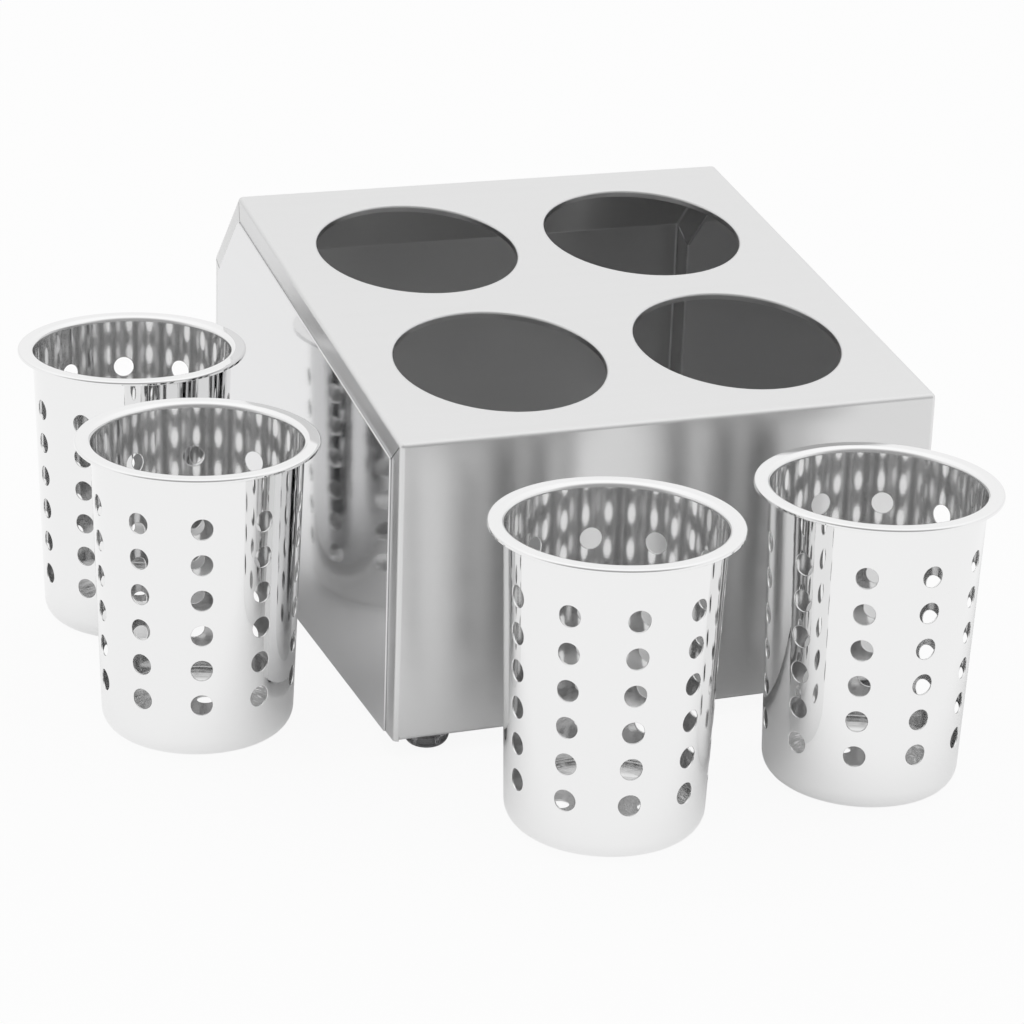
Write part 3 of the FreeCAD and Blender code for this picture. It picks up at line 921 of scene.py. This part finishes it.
class NodeBoard:
    """Short hand for a node tree: makes nodes, sets their values and links them."""

    def __init__(self, tree):
        self.tree = tree

    def node(self, kind, values=None, **links):
        """A node of the kind, with socket values by name or number and links by socket name."""
        made = self.tree.nodes.new(kind)
        for key, value in (values or {}).items():
            if isinstance(key, str) and hasattr(made, key) and key not in made.inputs:
                setattr(made, key, value)
            else:
                made.inputs[key].default_value = value
        for key, source in links.items():
            self.link(source, made.inputs[int(key[1:]) if key[1:].isdigit() else key.replace("_", " ")])
        return made

    def link(self, source, target):
        """Joins two sockets."""
        self.tree.links.new(source, target)

    def place(self, kind):
        """The place on a piece (Object), on its map (UV) or the direction in the surround (Generated)."""
        return self.node("ShaderNodeTexCoord").outputs[kind]

    def mask(self, name):
        """The value of a mesh attribute."""
        return self.node("ShaderNodeAttribute", {"attribute_name": name}).outputs["Fac"]

    def noise(self, place, scale, detail, **values):
        """Noise from 0 to 1 that changes about as often per unit of the place as the scale says."""
        return self.node("ShaderNodeTexNoise", {"Scale": scale, "Detail": detail, **values},
                         Vector=place).outputs["Fac"]

    def bump(self, height, distance, **links):
        """The normal of a surface whose height rises by the distance."""
        return self.node("ShaderNodeBump", {"Strength": 1.0, "Distance": distance}, Height=height,
                         **links).outputs["Normal"]

    def math(self, operation, first, second):
        """Two values joined by an operation."""
        return self.node("ShaderNodeMath", {"operation": operation}, i0=first, i1=second).outputs[0]

    def between(self, share, low, high, **values):
        """A value that runs from low to high with the share."""
        return self.node("ShaderNodeMapRange", {"To Min": low, "To Max": high, **values},
                         Value=share).outputs["Result"]

    def eased(self, value, start, end, low, high):
        """A value that eases from low to high while the other runs from start to end."""
        return self.between(value, low, high, **{
            "interpolation_type": "SMOOTHSTEP", "From Min": start, "From Max": end})

    def tint(self, share, dark, light):
        """A colour between two."""
        mix = self.node("ShaderNodeMix", {"data_type": "RGBA", 6: (*dark, 1.0), 7: (*light, 1.0)}, i0=share)
        return mix.outputs[2]


def new_material(name):
    """An empty material with its Principled shader: (material, board, shader inputs)."""
    material = bpy.data.materials.new(name)
    material.use_nodes = True
    tree = material.node_tree
    tree.nodes.clear()
    board = NodeBoard(tree)
    shader = board.node("ShaderNodeBsdfPrincipled")
    board.node("ShaderNodeOutputMaterial", Surface=shader.outputs["BSDF"])
    return material, board, shader.inputs


def shades(colour, spread):
    """The colour made darker and lighter by the spread."""
    return [[channel * share for channel in colour] for share in (1 - spread, 1 + spread)]


def polishing_grain():
    """Node group, made once: straight polishing grain, as noise drawn out along one direction.

    The place is multiplied by a stretch vector, so that it changes slowly along the grain and quickly
    across it. Fine gives the scratches, Broad the wider bands between them.
    """
    name = "polishing_grain"
    if name in bpy.data.node_groups:
        return bpy.data.node_groups[name]
    tree = bpy.data.node_groups.new(name, "ShaderNodeTree")
    for socket in ("Place", "Stretch"):
        tree.interface.new_socket(socket, in_out="INPUT", socket_type="NodeSocketVector")
    for socket in ("Fine", "Broad"):
        tree.interface.new_socket(socket, in_out="OUTPUT", socket_type="NodeSocketFloat")
    board = NodeBoard(tree)
    inside = board.node("NodeGroupInput").outputs
    drawn = board.node("ShaderNodeVectorMath", {"operation": "MULTIPLY"}, i0=inside["Place"],
                       i1=inside["Stretch"]).outputs["Vector"]
    outside = board.node("NodeGroupOutput").inputs
    board.link(board.noise(drawn, 1.0, GRAIN_DETAIL, Roughness=SCRATCH_ROUGHNESS), outside["Fine"])
    board.link(board.noise(drawn, BANDS_PER_SCRATCH, GRAIN_DETAIL), outside["Broad"])
    return tree


def add_grain(board, grain):
    """The grain group in a material, with the steel's own stretch: its Fine and Broad outputs."""
    return board.node("ShaderNodeGroup", {"node_tree": polishing_grain(), "Stretch": grain.stretch},
                      Place=board.place(grain.place)).outputs


def grained_steel(name, colour, roughness, grain):
    """Steel with polishing grain: (material, board, shader inputs).

    Fine scratches and slow waves of the sheet give the bump. The broad bands of the grain vary the
    roughness and the colour a little.
    """
    material, board, shader = new_material(name)
    drawn = add_grain(board, grain)
    waves = board.noise(board.place("Object"), grain.waves, WAVE_DETAIL)
    scratches = board.bump(drawn["Fine"], grain.scratch_height, Normal=board.bump(waves, grain.wave_height))
    rough = board.between(drawn["Broad"], roughness * (1 - ROUGHNESS_SPREAD),
                          roughness * (1 + ROUGHNESS_SPREAD))
    board.link(board.tint(drawn["Broad"], *shades(colour, TINT_SPREAD)), shader["Base Color"])
    board.link(rough, shader["Roughness"])
    board.link(scratches, shader["Normal"])
    shader["Metallic"].default_value = 1.0
    return material, board, shader


def case_steel(case):
    """Satin sheet, darker on its inner side and on the seat collars: partly a duller inner side, partly
    painted shade in the case's hollow.

    Its grain runs along the map's U, so reflections are drawn out along V.
    """
    material, board, shader = grained_steel("satin_case_steel", case.sheet_colour, case.sheet_roughness,
                                            CASE_GRAIN)
    polished = shader["Base Color"].links[0].from_socket
    # Painted shade: the inside mask darkens the case's inner side and the seat collars
    dull_and_shaded = [case.inner_dullness_and_shade] * 3 + [1.0]
    shaded = board.node("ShaderNodeMix", {"data_type": "RGBA", "blend_type": "MULTIPLY", 7: dull_and_shaded},
                        i0=board.mask("inside"), i6=polished)
    board.link(shaded.outputs[2], shader["Base Color"])
    grain_line = board.node("ShaderNodeTangent", {"direction_type": "UV_MAP", "uv_map": "sheet_map"})
    board.link(grain_line.outputs["Tangent"], shader["Tangent"])
    shader["Anisotropic"].default_value = case.sheet_grain
    shader["Anisotropic Rotation"].default_value = QUARTER_TURN
    return material


def panel_steel(case):
    """Smoother, brighter sheet of the side panels, with a faint level grain."""
    return grained_steel("bright_panel_steel", case.panel_colour, case.panel_roughness, PANEL_GRAIN)[0]


def fastener_steel(case):
    """Plated steel of the screws, washers and nuts."""
    return grained_steel("plated_fastener_steel", case.fastener_colour, case.fastener_roughness,
                         FASTENER_GRAIN)[0]


def cup_steel(cup):
    """Mirror-bright outside, and a duller inside with faint rings from the drawing."""
    material, board, shader = new_material("polished_cup_steel")
    inside = board.mask("inside")
    waves = board.noise(board.place("Object"), CUP_GRAIN.waves, WAVE_DETAIL)
    ring = board.math("MULTIPLY", add_grain(board, CUP_GRAIN)["Fine"], inside)
    rings = board.bump(ring, CUP_GRAIN.scratch_height, Normal=board.bump(waves, CUP_GRAIN.wave_height))
    board.link(board.tint(inside, cup.outer_colour, cup.inner_colour), shader["Base Color"])
    board.link(board.between(inside, cup.outer_roughness, cup.inner_roughness), shader["Roughness"])
    board.link(board.between(inside, 1.0, 1 - cup.inner_haze), shader["Metallic"])
    board.link(rings, shader["Normal"])
    return material


def foot_plastic(foot):
    """Clear smoke-grey moulding, a little cloudy inside."""
    material, board, shader = new_material("smoke_grey_moulding")
    cloud = board.noise(board.place("Object"), FOOT_CLOUDS, GRAIN_DETAIL)
    board.link(board.tint(cloud, *shades(foot.colour, CLOUD_SPREAD)), shader["Base Color"])
    shader["Roughness"].default_value = foot.roughness
    shader["IOR"].default_value = foot.refraction
    shader["Transmission Weight"].default_value = foot.clearness
    return material


class BuildCups(bpy.types.Operator):
    """Makes the four perforated cups where they stand"""

    bl_idname = "cutlery_holder.build_cups"
    bl_label = "Perforated cups"

    def execute(self, context):
        cup = context.scene.cutlery_cups
        patches = cup_patches(cup)
        material = cup_steel(cup)
        for name, turn in CUP_TURNS.items():
            low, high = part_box(name)
            place = ((low.x + high.x) / 2, (low.y + high.y) / 2, low.z)
            data = patches.mesh(name + "_shell", place, math.radians(turn))
            new_object(name + "_shell", data, material, name + "_body", "polished_cup_steel", name)
        return {"FINISHED"}


class BuildCase(bpy.types.Operator):
    """Makes the folded case and its two side panels"""

    bl_idname = "cutlery_holder.build_case"
    bl_label = "Case and side panels"

    def execute(self, context):
        case = context.scene.cutlery_case
        corner = (CASE_LOW.x, CASE_LOW.y, 0.0)
        data = case_patches(case).mesh("folded_case", corner)
        new_object("folded_case", data, case_steel(case), "case", "brushed_case_steel", "case_wrapper")
        steel = panel_steel(case)
        for side, hand in (("left", -1.0), ("right", 1.0)):
            data = panel_patches(case, hand).mesh(side + "_panel_plate", corner)
            new_object(side + "_panel_plate", data, steel, "case", "side_panel_steel", side + "_side_panel")
        return {"FINISHED"}


class BuildFeet(bpy.types.Operator):
    """Makes the four feet and finishes their screws, washers and nuts"""

    bl_idname = "cutlery_holder.build_feet"
    bl_label = "Feet and fasteners"

    def execute(self, context):
        foot = context.scene.cutlery_feet
        patches = foot_patches(foot)
        plastic = foot_plastic(foot)
        steel = fastener_steel(context.scene.cutlery_case)
        for corner in CASE_CORNERS:
            low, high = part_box("foot_" + corner)
            place = ((low.x + high.x) / 2, (low.y + high.y) / 2, low.z)
            data = patches.mesh("foot_dome_" + corner, place)
            new_object("foot_dome_" + corner, data, plastic, "case", "foot_plastic", "foot_" + corner)
            for kind in ("foot_screw_", "foot_washer_", "foot_nut_"):
                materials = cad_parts[kind + corner].data.materials
                materials.clear()
                materials.append(steel)
        return {"FINISHED"}


class BuildStage(bpy.types.Operator):
    """Makes the floor, the light and the camera"""

    bl_idname = "cutlery_holder.build_stage"
    bl_label = "Stage"

    def execute(self, context):
        stage = context.scene.cutlery_stage
        scene = context.scene
        scene.view_settings.view_transform = "Standard"
        self.make_floor(scene, stage)
        self.make_world(scene, stage)
        self.make_camera(scene, stage)
        return {"FINISHED"}

    def make_floor(self, scene, stage):
        """A round floor at table height: (r cos a, r sin a, 0), with r growing as a square."""
        radius = np.linspace(0.0, 1.0, FLOOR_RINGS + 1)[1:, None] ** 2 * stage.floor_radius
        angle = np.linspace(0.0, 2 * np.pi, FLOOR_SPOKES + 1)[None, :-1]
        points = np.stack([radius * np.cos(angle), radius * np.sin(angle), 0 * radius * angle], -1)
        rows, columns = points.shape[:2]
        index = np.arange(rows * columns).reshape(rows, columns)
        near, far = index[:-1], index[1:]
        quads = np.stack([near, far, np.roll(far, -1, 1), np.roll(near, -1, 1)], -1).reshape(-1, 4)
        data = bpy.data.meshes.new("floor")
        data.from_pydata(points.reshape(-1, 3), [], quads.tolist() + [index[0].tolist()])
        floor = bpy.data.objects.new("floor", data)
        scene.collection.objects.link(floor)
        data.materials.append(self.floor_paint(stage))

    def floor_paint(self, stage):
        """Matt pale floor with a share of plain white for the rays that show it as a background.

        In mirror images the white grows with the distance from the case, which paints shade on the floor
        round the case.
        """
        material = bpy.data.materials.new("pale_floor")
        material.use_nodes = True
        material.node_tree.nodes.clear()
        board = NodeBoard(material.node_tree)
        path = board.node("ShaderNodeLightPath").outputs
        mirrored = board.math("MAXIMUM", path["Is Glossy Ray"], path["Is Transmission Ray"])
        middle = (CASE_LOW + CASE_HIGH) / 2 + Vector(stage.dim_shift)
        middle.z = 0.0
        away = board.node("ShaderNodeVectorMath", {"operation": "DISTANCE", 1: middle},
                          i0=board.place("Object")).outputs["Value"]
        # Painted shade: the floor's glow in mirror images is weak round the case and full on the far floor
        painted_floor_light = board.eased(away, stage.near_reach, stage.far_reach, stage.near_white, stage.far_white)
        white = board.math("ADD", board.math("MULTIPLY", mirrored, painted_floor_light),
                           board.between(path["Is Camera Ray"], 0.0, stage.seen_white))
        matt = board.node("ShaderNodeBsdfDiffuse", {"Color": (*stage.floor_colour, 1.0)})
        glow = board.node("ShaderNodeEmission", {"Color": WHITE, "Strength": 1.0})
        both = board.node("ShaderNodeMixShader", i0=white, i1=matt.outputs[0], i2=glow.outputs[0])
        board.node("ShaderNodeOutputMaterial", Surface=both.outputs[0])
        return material

    def make_world(self, scene, stage):
        """A soft surround, plain white to look at.

        Its light grows from the horizon to straight above, and is dimmed behind the camera.
        """
        world = bpy.data.worlds.new("white_surround")
        scene.world = world
        world.use_nodes = True
        world.node_tree.nodes.clear()
        board = NodeBoard(world.node_tree)
        direction = board.place("Generated")
        height = board.node("ShaderNodeSeparateXYZ", Vector=direction).outputs["Z"]
        behind = (-math.sin(stage.camera_yaw), -math.cos(stage.camera_yaw), 0.0)
        towards = board.node("ShaderNodeVectorMath", {"operation": "DOT_PRODUCT", 1: behind}, i0=direction)
        shade = board.eased(towards.outputs["Value"], SHADE_START, SHADE_END, 1.0, 1.0 - stage.viewer_shade)
        light = board.math("MULTIPLY", board.between(height, stage.horizon, stage.zenith), shade)
        path = board.node("ShaderNodeLightPath").outputs
        seen = board.node("ShaderNodeMix", {"data_type": "FLOAT", "B": 1.0}, Factor=path["Is Camera Ray"],
                          A=light).outputs["Result"]
        back = board.node("ShaderNodeBackground", {"Color": WHITE}, Strength=seen)
        board.node("ShaderNodeOutputWorld", Surface=back.outputs[0])

    def make_camera(self, scene, stage):
        """A camera at the given yaw, pitch and roll, from the case's front left corner."""
        yaw, pitch, roll = stage.camera_yaw, stage.camera_pitch, stage.camera_roll
        ahead = Vector((math.sin(yaw) * math.cos(pitch), math.cos(yaw) * math.cos(pitch), -math.sin(pitch)))
        level = Vector((math.cos(yaw), -math.sin(yaw), 0.0))
        above = level.cross(ahead)
        right = level * math.cos(roll) + above * math.sin(roll)
        up = above * math.cos(roll) - level * math.sin(roll)
        place = Vector((CASE_LOW.x, CASE_LOW.y, 0.0)) + Vector(stage.camera_place)
        data = bpy.data.cameras.new("photo_camera")
        data.lens = stage.lens
        data.sensor_width = FILM_WIDTH
        data.shift_y = stage.shift
        camera = bpy.data.objects.new("photo_camera", data)
        scene.collection.objects.link(camera)
        camera.matrix_world = Matrix((
            (right.x, up.x, -ahead.x, place.x),
            (right.y, up.y, -ahead.y, place.y),
            (right.z, up.z, -ahead.z, place.z),
            (0.0, 0.0, 0.0, 1.0),
        ))
        scene.camera = camera


class CutleryHolderPanel(bpy.types.Panel):
    """Lists the pieces of the cutlery holder"""

    bl_idname = "VIEW3D_PT_cutlery_holder"
    bl_label = "Cutlery Holder"
    bl_space_type = "VIEW_3D"
    bl_region_type = "UI"
    bl_category = "Cutlery Holder"

    def draw(self, context):
        for maker in OPERATORS:
            self.layout.operator(maker.bl_idname)
        for name in SETTINGS:
            group = getattr(context.scene, name)
            for key in group.bl_rna.properties.keys():
                if key not in {"rna_type", "name"}:
                    self.layout.prop(group, key)


OPERATORS = (BuildCups, BuildCase, BuildFeet, BuildStage)
SETTINGS = {
    "cutlery_cups": CupSettings,
    "cutlery_case": CaseSettings,
    "cutlery_feet": FootSettings,
    "cutlery_stage": StageSettings,
}


def register():
    """Registers the settings, operators and panel."""
    for group in SETTINGS.values():
        bpy.utils.register_class(group)
    for name, group in SETTINGS.items():
        setattr(bpy.types.Scene, name, PointerProperty(type=group))
    for maker in OPERATORS:
        bpy.utils.register_class(maker)
    bpy.utils.register_class(CutleryHolderPanel)


def unregister():
    """Takes the panel, operators and settings away again."""
    bpy.utils.unregister_class(CutleryHolderPanel)
    for maker in reversed(OPERATORS):
        bpy.utils.unregister_class(maker)
    for name, group in SETTINGS.items():
        delattr(bpy.types.Scene, name)
        bpy.utils.unregister_class(group)


def main():
    """Registers the add-on and builds every piece in order."""
    register()
    bpy.ops.cutlery_holder.build_cups()
    bpy.ops.cutlery_holder.build_case()
    bpy.ops.cutlery_holder.build_feet()
    bpy.ops.cutlery_holder.build_stage()


if __name__ == "__main__":
    main()
